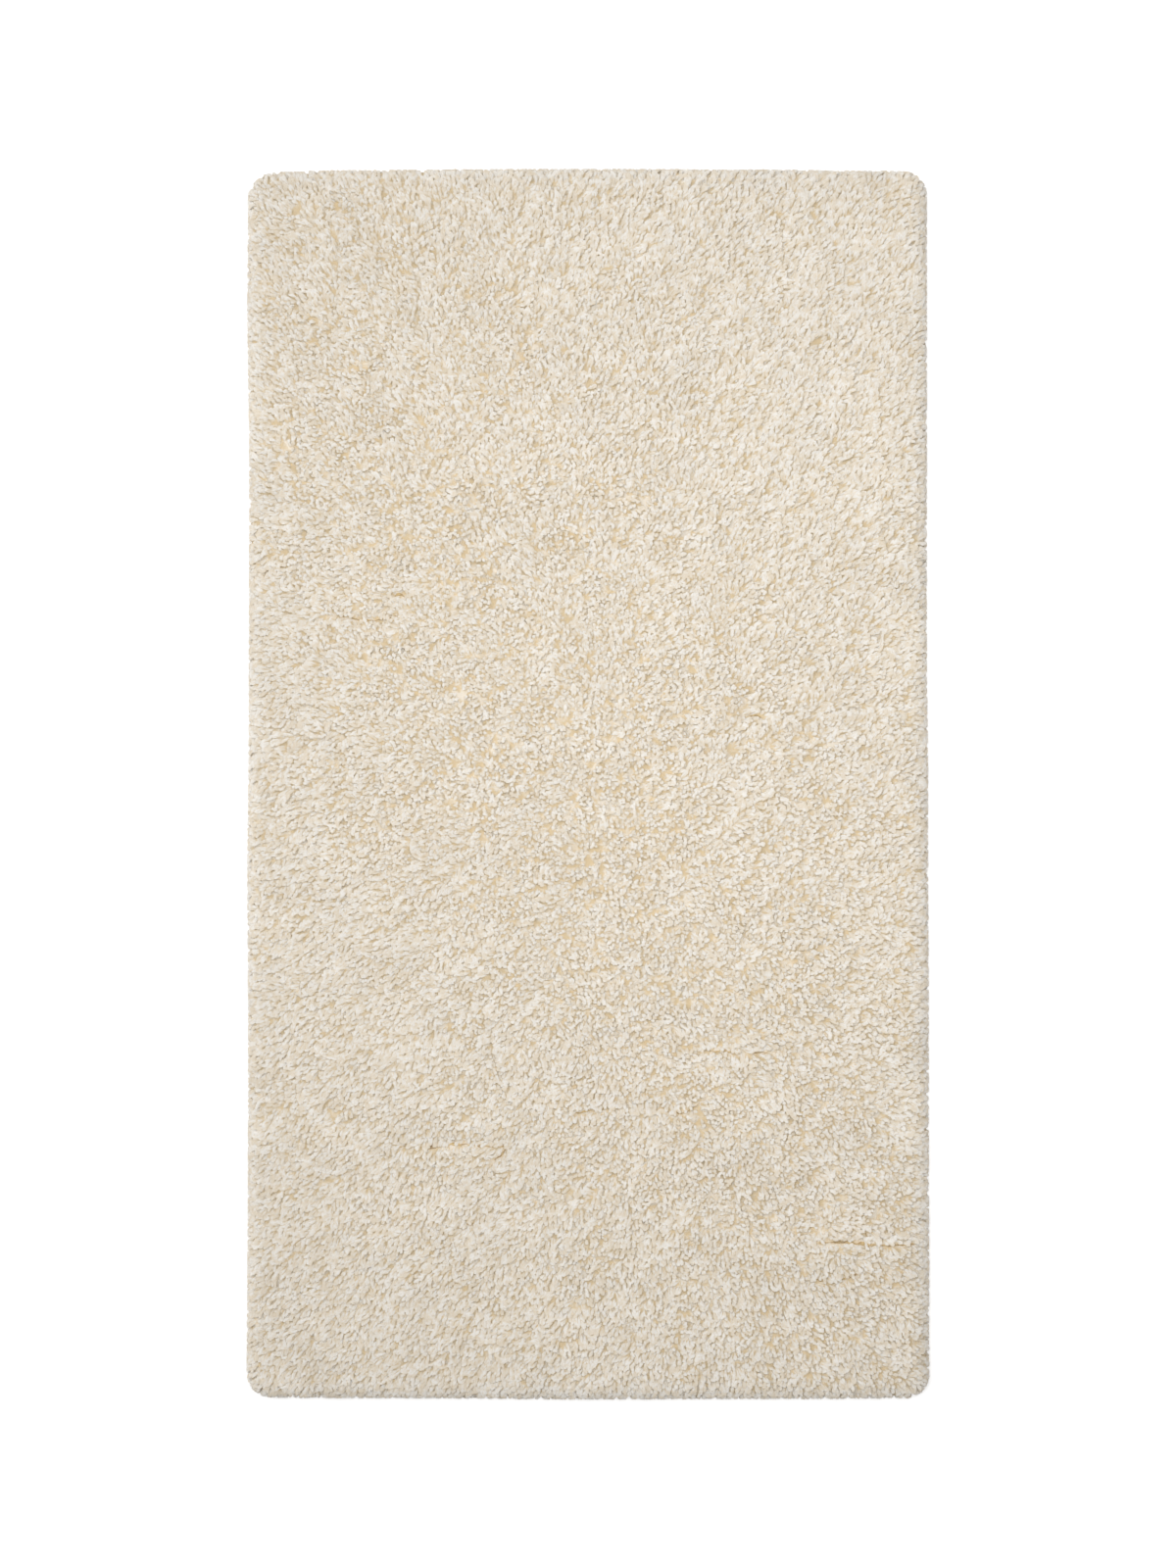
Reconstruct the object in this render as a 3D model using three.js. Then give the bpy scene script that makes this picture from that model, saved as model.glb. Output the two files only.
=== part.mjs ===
// A cream wool rug with a deep cut pile, one metre by one metre eighty, lying flat.
//
// The rug is one piece: yarn ends stand close together in a thin woven ground and open out over its edge.
// The solid is the outer shape of the whole, from the flat underside up to the tips of the pile.
// Millimetres, +Z up. The origin is the middle of the underside, +Y runs along the rug and +X across it.

import * as THREE from 'three';
import { mergeVertices } from 'three/addons/utils/BufferGeometryUtils.js';

// Driving dimensions.
const rugWidth = 1000;
const rugLength = 1800;
const groundThickness = 3;
const pileHeight = 25;
const cornerRadius = 34;

// How finely the solid is faceted.
const columnPitch = 40;
const rowPitch = 48;
const cornerSteps = 6;

// The pile lies in long, low swells, which drift sideways along the rug.
const swellHeight = 1.2;
const swellAcross = 420;
const swellAlong = 560;

// Where two rows of tufts lean apart, the pile shows a soft trough this wide from lip to lip.
const partingWidth = 18;
const partingTaper = 40;
const partings = [
  { x: -194, y: -524, length: 170, depth: 4.0 },
  { x: 405, y: -667, length: 120, depth: 4.0 },
  { x: -316, y: 241, length: 100, depth: 3.0 },
  { x: 85, y: -473, length: 170, depth: 2.5 },
];

// The section of the pile's edge, from the rim of the level field outwards and down to the underside.
// Reach is a share of the corner radius, and height a share of the whole thickness.
const edgeSection = [
  { reach: 0.00, height: 1.00 },
  { reach: 0.38, height: 0.98 },
  { reach: 0.66, height: 0.89 },
  { reach: 0.87, height: 0.73 },
  { reach: 0.98, height: 0.53 },
  { reach: 1.00, height: 0.34 },
  { reach: 0.95, height: 0.16 },
  { reach: 0.84, height: 0.05 },
  { reach: 0.74, height: 0.00 },
];

// How far each edge is drawn in from the full width or length, at places along it.
const edgeDrawIn = {
  left: [
    { at: -866, drawIn: 0.0 },
    { at: -560, drawIn: 1.6 },
    { at: -370, drawIn: 2.2 },
    { at: -150, drawIn: 0.6 },
    { at: 90, drawIn: 2.8 },
    { at: 480, drawIn: 3.6 },
    { at: 700, drawIn: 0.8 },
    { at: 866, drawIn: 1.8 },
  ],
  right: [
    { at: -866, drawIn: 0.0 },
    { at: -400, drawIn: 0.8 },
    { at: 0, drawIn: 1.8 },
    { at: 200, drawIn: 3.6 },
    { at: 866, drawIn: 3.6 },
  ],
  far: [
    { at: -466, drawIn: 4.6 },
    { at: -370, drawIn: 2.0 },
    { at: 0, drawIn: 0.0 },
    { at: 190, drawIn: 0.8 },
    { at: 466, drawIn: 3.0 },
  ],
  near: [
    { at: -466, drawIn: 2.6 },
    { at: -300, drawIn: 1.7 },
    { at: 0, drawIn: 0.0 },
    { at: 300, drawIn: 0.4 },
    { at: 466, drawIn: 1.6 },
  ],
};

// How much each corner's curve is flattened at its middle, as a share of the corner radius.
const cornerFlattening = { nearRight: 0.02, farRight: 0.02, farLeft: 0.10, nearLeft: 0.03 };

// The level field is the rug without its rolled edge.
const totalHeight = groundThickness + pileHeight;
const fieldHalfWidth = rugWidth / 2 - cornerRadius;
const fieldHalfLength = rugLength / 2 - cornerRadius;

// The draw-in of one edge at a place along it, eased from row to row of its table.
function drawInAt(rows, at) {
  const last = rows.length - 1;
  if (at <= rows[0].at) return rows[0].drawIn;
  if (at >= rows[last].at) return rows[last].drawIn;
  const next = rows.findIndex((row) => row.at > at);
  const before = rows[next - 1];
  const after = rows[next];
  const share = THREE.MathUtils.smoothstep(at, before.at, after.at);
  return THREE.MathUtils.lerp(before.drawIn, after.drawIn, share);
}

// Moves a point of the plain rectangle to its place in the slightly uneven outline.
function drawnIn(x, y, z) {
  const across = x / (rugWidth / 2);
  const along = y / (rugLength / 2);
  const side = across > 0 ? edgeDrawIn.right : edgeDrawIn.left;
  const end = along > 0 ? edgeDrawIn.far : edgeDrawIn.near;
  return new THREE.Vector3(x - across * drawInAt(side, y), y - along * drawInAt(end, x), z);
}

// How deep the partings cut into the pile at one place.
function partingDepth(x, y) {
  let deepest = 0;
  for (const parting of partings) {
    const acrossTrough = 1 - Math.abs(y - parting.y) / (partingWidth / 2);
    const toEnd = (parting.length / 2 - Math.abs(x - parting.x)) / partingTaper;
    const share = Math.max(0, acrossTrough) * THREE.MathUtils.clamp(toEnd, 0, 1);
    deepest = Math.max(deepest, parting.depth * share);
  }
  return deepest;
}

// The height of the tips of the pile at one place.
function surfaceHeight(x, y) {
  const drift = y / swellAlong;
  const waveAcross = Math.sin((2 * Math.PI * x) / swellAcross + drift);
  const waveAlong = Math.cos((2 * Math.PI * y) / swellAlong);
  return totalHeight + swellHeight * waveAcross * waveAlong - partingDepth(x, y);
}

// Even lines across the field, with the wanted extra lines in place of those that lie close to them.
function gridLines(halfSize, pitch, extras) {
  const closest = pitch / 4;
  const cells = 2 * Math.round(halfSize / pitch);
  const lines = [...extras];
  for (let i = 0; i <= cells; i++) {
    const line = halfSize * ((2 * i) / cells - 1);
    const isRim = i === 0 || i === cells;
    if (isRim || extras.every((extra) => Math.abs(line - extra) > closest)) lines.push(line);
  }
  return lines.sort((a, b) => a - b);
}

// The field's rim, counter-clockwise from above: each stop has a place and the way that the edge faces.
// A corner is one place with several directions.
function rimStops(columns, rows) {
  const stops = [];
  const addSide = (places, angle) => {
    for (const { x, y } of places) stops.push({ x, y, angle, flattening: 0 });
  };
  const addCorner = (x, y, startAngle, flattening) => {
    for (let i = 0; i <= cornerSteps; i++) {
      const turn = (i / cornerSteps) * (Math.PI / 2);
      stops.push({ x, y, angle: startAngle + turn, flattening: flattening * Math.sin(2 * turn) });
    }
  };
  const innerColumns = columns.slice(1, -1);
  const innerRows = rows.slice(1, -1);
  const across = fieldHalfWidth;
  const along = fieldHalfLength;
  addSide(innerRows.map((y) => ({ x: across, y })), 0);
  addCorner(across, along, 0, cornerFlattening.farRight);
  addSide(innerColumns.toReversed().map((x) => ({ x, y: along })), Math.PI / 2);
  addCorner(-across, along, Math.PI / 2, cornerFlattening.farLeft);
  addSide(innerRows.toReversed().map((y) => ({ x: -across, y })), Math.PI);
  addCorner(-across, -along, Math.PI, cornerFlattening.nearLeft);
  addSide(innerColumns.map((x) => ({ x, y: -along })), 1.5 * Math.PI);
  addCorner(across, -along, 1.5 * Math.PI, cornerFlattening.nearRight);
  return stops;
}

// One turn of the edge: every rim stop moved out and down to a row of the edge section.
function edgeRing(stops, { reach, height }) {
  return stops.map(({ x, y, angle, flattening }) => {
    const out = cornerRadius * reach * (1 - flattening);
    const z = surfaceHeight(x, y) * height;
    return drawnIn(x + out * Math.cos(angle), y + out * Math.sin(angle), z);
  });
}

// Collects the triangles, and leaves out those that a corner's shared place makes empty.
function addTriangle(triangles, a, b, c) {
  if (a.equals(b) || b.equals(c) || c.equals(a)) return;
  for (const corner of [a, b, c]) triangles.push(corner.x, corner.y, corner.z);
}

function addQuad(triangles, a, b, c, d) {
  addTriangle(triangles, a, b, c);
  addTriangle(triangles, a, c, d);
}

function addField(triangles, columns, rows) {
  const place = (i, j) => drawnIn(columns[i], rows[j], surfaceHeight(columns[i], rows[j]));
  for (let j = 0; j < rows.length - 1; j++) {
    for (let i = 0; i < columns.length - 1; i++) {
      addQuad(triangles, place(i, j), place(i + 1, j), place(i + 1, j + 1), place(i, j + 1));
    }
  }
}

function addEdge(triangles, rings) {
  for (let k = 0; k < rings.length - 1; k++) {
    const upper = rings[k];
    const lower = rings[k + 1];
    upper.forEach((place, i) => {
      const next = (i + 1) % upper.length;
      addQuad(triangles, place, lower[i], lower[next], upper[next]);
    });
  }
}

function addUnderside(triangles, ring) {
  const middle = new THREE.Vector3(0, 0, 0);
  ring.forEach((place, i) => addTriangle(triangles, middle, ring[(i + 1) % ring.length], place));
}

function rugGeometry() {
  const partingRows = partings.flatMap(({ y }) => [y - partingWidth / 2, y, y + partingWidth / 2]);
  const columns = gridLines(fieldHalfWidth, columnPitch, []);
  const rows = gridLines(fieldHalfLength, rowPitch, partingRows);
  const stops = rimStops(columns, rows);
  const rings = edgeSection.map((row) => edgeRing(stops, row));

  const triangles = [];
  addField(triangles, columns, rows);
  addEdge(triangles, rings);
  addUnderside(triangles, rings[rings.length - 1]);

  const soup = new THREE.BufferGeometry();
  soup.setAttribute('position', new THREE.Float32BufferAttribute(triangles, 3));
  const geometry = mergeVertices(soup);
  geometry.computeVertexNormals();
  return geometry;
}

const woolPile = new THREE.MeshStandardMaterial({
  name: 'wool_pile',
  color: 0xded2c1,
  roughness: 0.95,
  metalness: 0,
});

const rug = new THREE.Mesh(rugGeometry(), woolPile);
rug.name = 'pile_rug';

const model = new THREE.Group();
model.add(rug);

export default model;
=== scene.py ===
"""A cream wool rug with a deep cut pile, dressed over its construction model.

The rug is made in layers. A thin woven ground lies on the floor, a bed of packed pile stands on the ground,
and thousands of soft yarn ends grow out of the bed and lean over each other and over the edge. The wool's
colour holds painted shade: it turns darker and warmer where the wool lies deep, faces down or sits between
plies and curls. Where rows of tufts lean apart, narrow strips of painted shadow stand for the deep pile
between them. All sizes are in metres.
"""

import math
from functools import partial, reduce

import bmesh
import bpy
import numpy as np
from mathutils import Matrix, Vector, noise
from mathutils.bvhtree import BVHTree


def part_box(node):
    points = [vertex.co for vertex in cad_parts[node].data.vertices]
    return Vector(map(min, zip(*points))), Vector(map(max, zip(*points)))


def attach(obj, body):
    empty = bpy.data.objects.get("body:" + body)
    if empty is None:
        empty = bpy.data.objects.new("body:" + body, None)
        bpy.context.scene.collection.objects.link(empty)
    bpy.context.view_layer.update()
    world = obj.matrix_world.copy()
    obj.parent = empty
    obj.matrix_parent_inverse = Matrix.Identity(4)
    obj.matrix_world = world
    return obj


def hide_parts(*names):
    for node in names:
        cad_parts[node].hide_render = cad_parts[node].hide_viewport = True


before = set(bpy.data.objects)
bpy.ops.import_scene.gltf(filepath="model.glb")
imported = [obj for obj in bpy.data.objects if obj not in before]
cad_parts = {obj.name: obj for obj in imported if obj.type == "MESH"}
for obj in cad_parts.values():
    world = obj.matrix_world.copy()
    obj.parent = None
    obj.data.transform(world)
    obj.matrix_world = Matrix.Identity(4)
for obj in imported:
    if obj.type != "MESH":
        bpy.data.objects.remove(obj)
CAD_LOW, CAD_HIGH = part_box("pile_rug")
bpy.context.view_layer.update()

bl_info = {
    "name": "Deep-Pile Wool Rug",
    "version": (1, 0, 0),
    "blender": (4, 5, 0),
    "location": "3D View > Sidebar > Rug",
    "description": "Makes a cream wool rug from a woven ground, packed pile and leaning yarn ends",
    "category": "Object",
}

MM = 0.001
RUG_HALF_WIDTH = CAD_HIGH.x
RUG_HALF_LENGTH = CAD_HIGH.y

# Attributes that every yarn end carries: how far along it a point lies from root to tip, the direction round
# it, a number from 0 to 1 that it partly shares with its lock, which yarn end it is, how far it faces out of
# the pile, and how far it rises over the pile around it. The last two, lifted along the rim, set how much
# painted shade the wool's colour takes.
ALONG = "along_yarn"
ROUND = "round_yarn"
OWN = "own_number"
YARN = "yarn_number"
FACING = "facing_up"
RISEN = "risen"

# Attributes that the finished yarn ends can do without.
ROOT_NORMAL = "root_normal"
MAKING = (ROOT_NORMAL, "root_place", "lean_way", "tip_angle", "yarn_reach", "yarn_girth", "yarn_curl", YARN)

# Added to the seed, so that every random number of a yarn end is a draw of its own.
LEAN_DRAW, REACH_DRAW, GIRTH_DRAW, CURL_DRAW, SHADE_DRAW = 11, 21, 31, 41, 51

# A map to bake on: one small square for each yarn end.
BAKE_MAP = "OFBake"

# Places where the tufts lean apart: how far each opens, and its points in millimetres from the middle of the
# rug. Most of them follow the rows across the rug.
PARTINGS = [
    (1.2, [(-273, -528), (-232, -529), (-215, -526), (-187, -524), (-158, -527), (-122, -527)]),
    (0.7, [(-118, -529), (-127, -541), (-137, -547)]),
    (1.1, [(337, -668), (380, -667), (409, -671), (445, -672), (474, -670)]),
    (0.8, [(404, -654), (408, -664), (409, -678)]),
    (0.7, [(316, -723), (334, -721), (348, -726), (380, -719), (398, -709)]),
    (0.5, [(-366, 246), (-345, 240), (-316, 238), (-294, 240), (-276, 246)]),
    (0.7, [(-287, 268), (-273, 277), (-266, 271)]),
    (0.7, [(-25, -481), (7, -474), (25, -474), (57, -465)]),
    (0.6, [(102, -459), (111, -474), (122, -480), (136, -479), (151, -474), (162, -463)]),
    (0.5, [(165, -386), (183, -390), (208, -388), (217, -393)]),
    (0.5, [(236, -391), (262, -391)]),
    (0.7, [(-190, -648), (-178, -641), (-166, -639)]),
    (0.7, [(234, 97), (243, 101), (252, 96)]),
]


# Settings -----------------------------------------------------------


def a_number(name, description, default, **limits):
    return bpy.props.FloatProperty(name=name, description=description, default=default, **limits)


def a_size(name, description, default, least=0.0):
    return a_number(name, description, default, min=least, unit="LENGTH")


def a_colour(name, description, default):
    return bpy.props.FloatVectorProperty(
        name=name, description=description, default=default, min=0, max=1, size=3, subtype="COLOR",
    )


class RugGroundSettings(bpy.types.PropertyGroup):
    """The woven ground that the pile stands in."""

    edge_inset: a_size("Edge Inset", "How far the ground ends inside the rug's outline", 18 * MM)
    thickness: a_size("Thickness", "Thickness of the woven ground", 3 * MM, 1 * MM)
    thread_pitch: a_size("Thread Pitch", "Distance between threads of the weave", 3.2 * MM, 0.5 * MM)
    colour: a_colour("Colour", "Colour of the ground's threads", (0.60, 0.52, 0.40))


class RugPileSettings(bpy.types.PropertyGroup):
    """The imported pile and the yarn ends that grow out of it."""

    bed_inset: a_size("Bed Inset", "How far the packed pile lies inside the rug's outline", 5 * MM)
    bed_top: a_size("Bed Top", "Height of the packed pile over the floor", 22.5 * MM, 5 * MM)
    lump_size: a_size("Lump Size", "Distance between low lumps in the pile", 36 * MM, 10 * MM)
    lump_height: a_size("Lump Height", "Height of the lumps", 1.0 * MM)
    yarn_spacing: a_size("Yarn Spacing", "Least distance between two yarn ends' roots", 3.7 * MM, 3 * MM)
    yarn_thickness: a_size("Yarn Thickness", "Thickness of a yarn end at its thickest", 6.4 * MM, 1 * MM)
    yarn_length: a_size("Yarn Length", "Length of yarn that shows above the packed pile", 13 * MM, 5 * MM)
    yarn_lean_limit: a_number(
        "Yarn Lean", "How far the tips of the yarn ends may lean over", math.radians(84),
        min=0, max=math.radians(120), unit="ROTATION",
    )
    edge_band: a_size("Edge Band", "Width of the band in which the pile falls outwards", 36 * MM, 5 * MM)
    roll_band: a_size("Roll Band", "Width of the rim on which the soft shading rolls over", 24 * MM, 2 * MM)
    edge_roll: a_number("Edge Roll", "How far the soft shading rolls over the edge", 1.5, min=0, max=4)
    # A parting's deep pile is a strip of painted shadow: its width and its dark colour.
    parting_gap: a_size("Parting Gap", "Width of the deep pile seen in a parting", 4.5 * MM, 0.5 * MM)
    parting_shade_colour: a_colour("Parting Colour", "Colour of the wool deep in a parting", (0.42, 0.30, 0.17))
    # The relief spans the painted shade, from the deep shade colour up to the tip colour.
    relief: a_size("Relief", "Height from the wool's deep colour up to its tip colour", 5 * MM, 0.5 * MM)
    softness: a_number(
        "Softness", "How far each yarn end is shaded like the pile as a whole", 0.97,
        min=0, max=1, subtype="FACTOR",
    )
    seed: bpy.props.IntProperty(
        name="Seed", description="Picks another random lie of the yarn ends", default=7, min=0,
    )
    tip_colour: a_colour("Tip Colour", "Colour of the wool at the tips", (0.86, 0.835, 0.79))
    # The deep colour is painted shade: the colour the wool takes in crevices, under other yarn ends and on
    # sides that face down.
    deep_shade_colour: a_colour("Deep Colour", "Colour of the wool deep in the pile", (0.65, 0.485, 0.25))


class RugStageSettings(bpy.types.PropertyGroup):
    """The floor, the light and the camera."""

    floor_size: a_size("Floor Size", "Length of each side of the floor", 16.0, 3.0)
    camera_height: a_size("Camera Height", "Height of the camera over the floor", 2.8, 1.0)
    view_length: a_size("View Length", "Length of floor that the upright picture takes in", 2.30, 1.0)
    window_strength: a_number("Window Strength", "Strength of the soft light from the left", 1.47, min=0)
    overhead_power: a_number(
        "Overhead Power", "Power of the soft lamp over the rug", 49.6, min=0, unit="POWER")
    sky_strength: a_number("Sky Strength", "Strength of the even light from all round", 0.215, min=0)
    sky_colour: a_colour("Sky Colour", "Colour of the even light from all round", (1.0, 0.96, 0.90))
    floor_glow: a_number("Floor Glow", "Strength of the floor's own light near the rug", 0.46, min=0, max=1)


# Node trees ---------------------------------------------------------

NODE_SPACING = 190


class Pen:
    """Writes nodes into a tree. Its calls add nodes, feed their inputs and give back an output.

    It knows the inputs that are given to the tree and the kinds of the attributes that it has stored.
    """

    def __init__(self, tree):
        self.tree = tree
        self.given = None
        self.kinds = {}

    def feed(self, socket, value):
        if isinstance(value, bpy.types.NodeSocket):
            self.tree.links.new(value, socket)
        else:
            socket.default_value = value

    def node(self, kind, inputs=None, **settings):
        made = self.tree.nodes.new(kind)
        made.location = (NODE_SPACING * len(self.tree.nodes), 0)
        for name, value in settings.items():
            setattr(made, name, value)
        for key, value in (inputs or {}).items():
            self.feed(made.inputs[key], value)
        return made

    def add(self, kind, inputs=None, output=0, **settings):
        return self.node(kind, inputs, **settings).outputs[output]

    def math(self, operation, *values):
        return self.add("ShaderNodeMath", dict(enumerate(values)), operation=operation)

    def plus(self, *values):
        return reduce(partial(self.math, "ADD"), values)

    def minus(self, one, other):
        return self.math("SUBTRACT", one, other)

    def times(self, *values):
        return reduce(partial(self.math, "MULTIPLY"), values)

    def over(self, one, other):
        return self.math("DIVIDE", one, other)

    def vector(self, operation, *values, output=0):
        return self.add("ShaderNodeVectorMath", dict(enumerate(values)), output, operation=operation)

    def scaled(self, vector, factor):
        return self.add("ShaderNodeVectorMath", {0: vector, "Scale": factor}, operation="SCALE")

    def dot(self, one, other):
        return self.vector("DOT_PRODUCT", one, other, output="Value")

    def length(self, vector):
        return self.vector("LENGTH", vector, output="Value")

    def total(self, *vectors):
        return reduce(partial(self.vector, "ADD"), vectors)

    def flat(self, vector):
        return self.vector("MULTIPLY", vector, (1, 1, 0))

    def centred(self, colour, factor):
        """A random colour as a vector that points any way."""
        return self.scaled(self.vector("SUBTRACT", colour, (0.5, 0.5, 0.5)), factor)

    def joined(self, x, y, z):
        return self.add("ShaderNodeCombineXYZ", {0: x, 1: y, 2: z})

    def parts(self, vector):
        return self.node("ShaderNodeSeparateXYZ", {0: vector}).outputs

    def ramp(self, value, low, high, to_low=0.0, to_high=1.0, smooth=True):
        kind = "SMOOTHSTEP" if smooth else "LINEAR"
        ends = {0: value, 1: low, 2: high, 3: to_low, 4: to_high}
        return self.add("ShaderNodeMapRange", ends, interpolation_type=kind)

    def blend(self, factor, one, other):
        return self.add("ShaderNodeMix", {0: factor, 2: one, 3: other}, data_type="FLOAT")

    def tint(self, factor, one, other):
        return self.add("ShaderNodeMix", {0: factor, 6: one, 7: other}, output=2, data_type="RGBA")

    def clouds(self, place, size, detail, output=0, **more):
        """Soft noise with lumps of about this size."""
        inputs = {"Vector": place, "Scale": self.over(1.0, size), "Detail": detail, **more}
        return self.add("ShaderNodeTexNoise", inputs, output)

    def object_place(self):
        return self.add("ShaderNodeTexCoord", output="Object")

    def effect(self, name, **inputs):
        """One of the shared effects. An input's name is written with an underscore for each space."""
        tree = bpy.data.node_groups.get(name) or SHARED_EFFECTS[name]()
        fed = {key.replace("_", " ").title(): value for key, value in inputs.items()}
        return self.add("ShaderNodeGroup", fed, node_tree=tree)

    def finished(self, value):
        """The tree, which gives this value."""
        self.feed(self.node("NodeGroupOutput").inputs[0], value)
        return self.tree

    # The calls from here on are for trees that make shapes.

    def store(self, geometry, name, value):
        kind = self.kinds[name] = {"VECTOR": "FLOAT_VECTOR", "VALUE": "FLOAT", "INT": "INT"}[value.type]
        inputs = {"Geometry": geometry, "Name": name, "Value": value}
        return self.add("GeometryNodeStoreNamedAttribute", inputs, data_type=kind, domain="POINT")

    def read(self, name):
        return self.add("GeometryNodeInputNamedAttribute", {"Name": name}, data_type=self.kinds[name])

    def place(self):
        return self.add("GeometryNodeInputPosition")

    def random(self, low, high, draw):
        inputs = {2: low, 3: high, "Seed": self.plus(self.given["Seed"], draw)}
        return self.add("FunctionNodeRandomValue", inputs, output=1, data_type="FLOAT")

    def compare(self, operation, one, other):
        return self.add("FunctionNodeCompare", {0: one, 1: other}, operation=operation)

    def either(self, one, other, *more):
        """Whether any of the tests holds."""
        rest = self.either(other, *more) if more else other
        return self.add("FunctionNodeBooleanMath", {0: one, 1: rest}, operation="OR")

    def shape_of(self, name):
        return self.add("GeometryNodeObjectInfo", {"Object": self.given[name]}, output="Geometry")


def new_group(name, kind, inputs, output):
    """A node group with named sockets. Gives its pen and its inputs."""
    tree = bpy.data.node_groups.new(name, f"{kind}NodeTree")
    for sort, defaults in inputs.items():
        for socket_name, default in defaults.items():
            socket = tree.interface.new_socket(
                name=socket_name, in_out="INPUT", socket_type=f"NodeSocket{sort}")
            if default is not None:
                socket.default_value = default
    output_name, sort = output
    tree.interface.new_socket(name=output_name, in_out="OUTPUT", socket_type=f"NodeSocket{sort}")
    pen = Pen(tree)
    pen.given = pen.node("NodeGroupInput").outputs
    return pen, pen.given


def rgba(colour):
    return (*colour, 1.0)


# Shared wool effects ------------------------------------------------


def wool_colour_group():
    """Mixes painted deep shade and light wool by height in the pile, with soft patches and a tone for each
    yarn.
    """
    pen, given = new_group("wool_colour", "Shader", {
        "Color": {"Light": rgba((0.8, 0.8, 0.8)), "Deep": rgba((0.5, 0.5, 0.5))},
        "Float": {
            "Height": 1.0, "Own": 0.5, "Own Contrast": 0.08, "Patch Size": 0.075, "Patch Contrast": 0.21,
        },
    }, ("Colour", "Color"))
    patches = pen.clouds(pen.object_place(), given["Patch Size"], 4.0, Roughness=0.7)
    patch_shade = pen.times(pen.minus(patches, 0.5), given["Patch Contrast"])
    own_shade = pen.times(pen.minus(given["Own"], 0.5), given["Own Contrast"])
    return pen.finished(pen.add("ShaderNodeHueSaturation", {
        "Color": pen.tint(given["Height"], given["Deep"], given["Light"]),
        "Value": pen.plus(patch_shade, own_shade, 1.0),
        "Saturation": pen.minus(1.0, pen.times(own_shade, 2.0)),
    }))


def wool_curls_group():
    """Soft curls of wool, from 0 deep between the curls to 1 on top of them, gathered into loose locks."""
    pen, given = new_group("wool_curls", "Shader", {
        "Float": {"Curl Size": 0.009, "Lock Size": 0.03, "Seam Width": 0.05, "Seam Level": 0.55},
    }, ("Curls", "Float"))
    place = pen.object_place()
    curls = pen.clouds(place, given["Curl Size"], 1.5, Distortion=0.3)
    locks = pen.clouds(place, given["Lock Size"], 1.0, Distortion=0.4)
    from_seam = pen.math("ABSOLUTE", pen.minus(locks, 0.5))
    seam = pen.ramp(from_seam, 0.0, given["Seam Width"], given["Seam Level"], 1.0)
    return pen.finished(pen.times(pen.ramp(curls, low=0.30, high=0.66), seam))


def yarn_plies_group():
    """The plies of a twisted yarn with loose fibres on them, from 0 in the grooves to 1 on the plies."""
    pen, given = new_group("yarn_plies", "Shader", {
        "Vector": {"Round": None},
        "Float": {
            "Along": 0.0, "Own": 0.0, "Twist": 2.4, "Groove Width": 0.6,
            "Fibre Share": 0.35, "Fibre Fineness": 2.2,
        },
    }, ("Plies", "Float"))
    around = pen.parts(given["Round"])
    angle = pen.math("ARCTAN2", around[1], around[0])
    first_turn = pen.times(given["Own"], 2 * math.pi)
    turn = pen.plus(pen.times(given["Along"], given["Twist"]), first_turn)
    wave = pen.math("ABSOLUTE", pen.math("COSINE", pen.plus(angle, turn)))
    plies = pen.ramp(wave, 0.0, given["Groove Width"])
    # Each yarn takes its fibres from another stretch of the noise.
    stretches = 90.0
    height = pen.plus(given["Along"], pen.times(given["Own"], stretches))
    fibres = pen.add("ShaderNodeTexNoise", {
        "Vector": pen.joined(around[0], around[1], height), "Scale": given["Fibre Fineness"], "Detail": 2.0,
    })
    covered = pen.times(plies, pen.ramp(fibres, low=0.3, high=0.7))
    return pen.finished(pen.blend(given["Fibre Share"], plies, covered))


def wool_relief_group():
    """The fine relief of loose wool: short fibres and soft lumps."""
    pen, given = new_group("wool_relief", "Shader", {
        "Float": {"Fibre Size": 0.0009, "Fibre Height": 0.35, "Lump Size": 0.003, "Lump Height": 0.65},
    }, ("Relief", "Float"))
    place = pen.object_place()
    fibres = pen.times(pen.clouds(place, given["Fibre Size"], 2.0), given["Fibre Height"])
    lumps = pen.times(pen.clouds(place, given["Lump Size"], 1.0), given["Lump Height"])
    return pen.finished(pen.plus(fibres, lumps))


SHARED_EFFECTS = {
    "wool_colour": wool_colour_group,
    "wool_curls": wool_curls_group,
    "yarn_plies": yarn_plies_group,
    "wool_relief": wool_relief_group,
}


# Materials ----------------------------------------------------------


def new_material(name, roughness, sheen):
    """A material with one Principled shader, and the pen to write its nodes with."""
    material = bpy.data.materials.new(name)
    material.use_nodes = True
    shader = material.node_tree.nodes["Principled BSDF"]
    shader.inputs["Roughness"].default_value = roughness
    shader.inputs["Specular IOR Level"].default_value = 0.25
    shader.inputs["Sheen Weight"].default_value = sheen
    shader.inputs["Sheen Roughness"].default_value = 0.45
    shader.inputs["Sheen Tint"].default_value = rgba((1.0, 0.97, 0.92))
    return material, Pen(material.node_tree), shader


def feed_wool(pen, shader, light, deep, **inputs):
    """Gives a material the shared wool colour, which turns from the deep painted shade to light with its
    height.
    """
    colour = pen.effect("wool_colour", light=rgba(light), deep=rgba(deep), **inputs)
    pen.feed(shader.inputs["Base Color"], colour)


def feed_bump(pen, shader, height, strength, distance):
    bump = pen.add("ShaderNodeBump", {"Strength": strength, "Distance": distance, "Height": height})
    pen.feed(shader.inputs["Normal"], bump)


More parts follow.
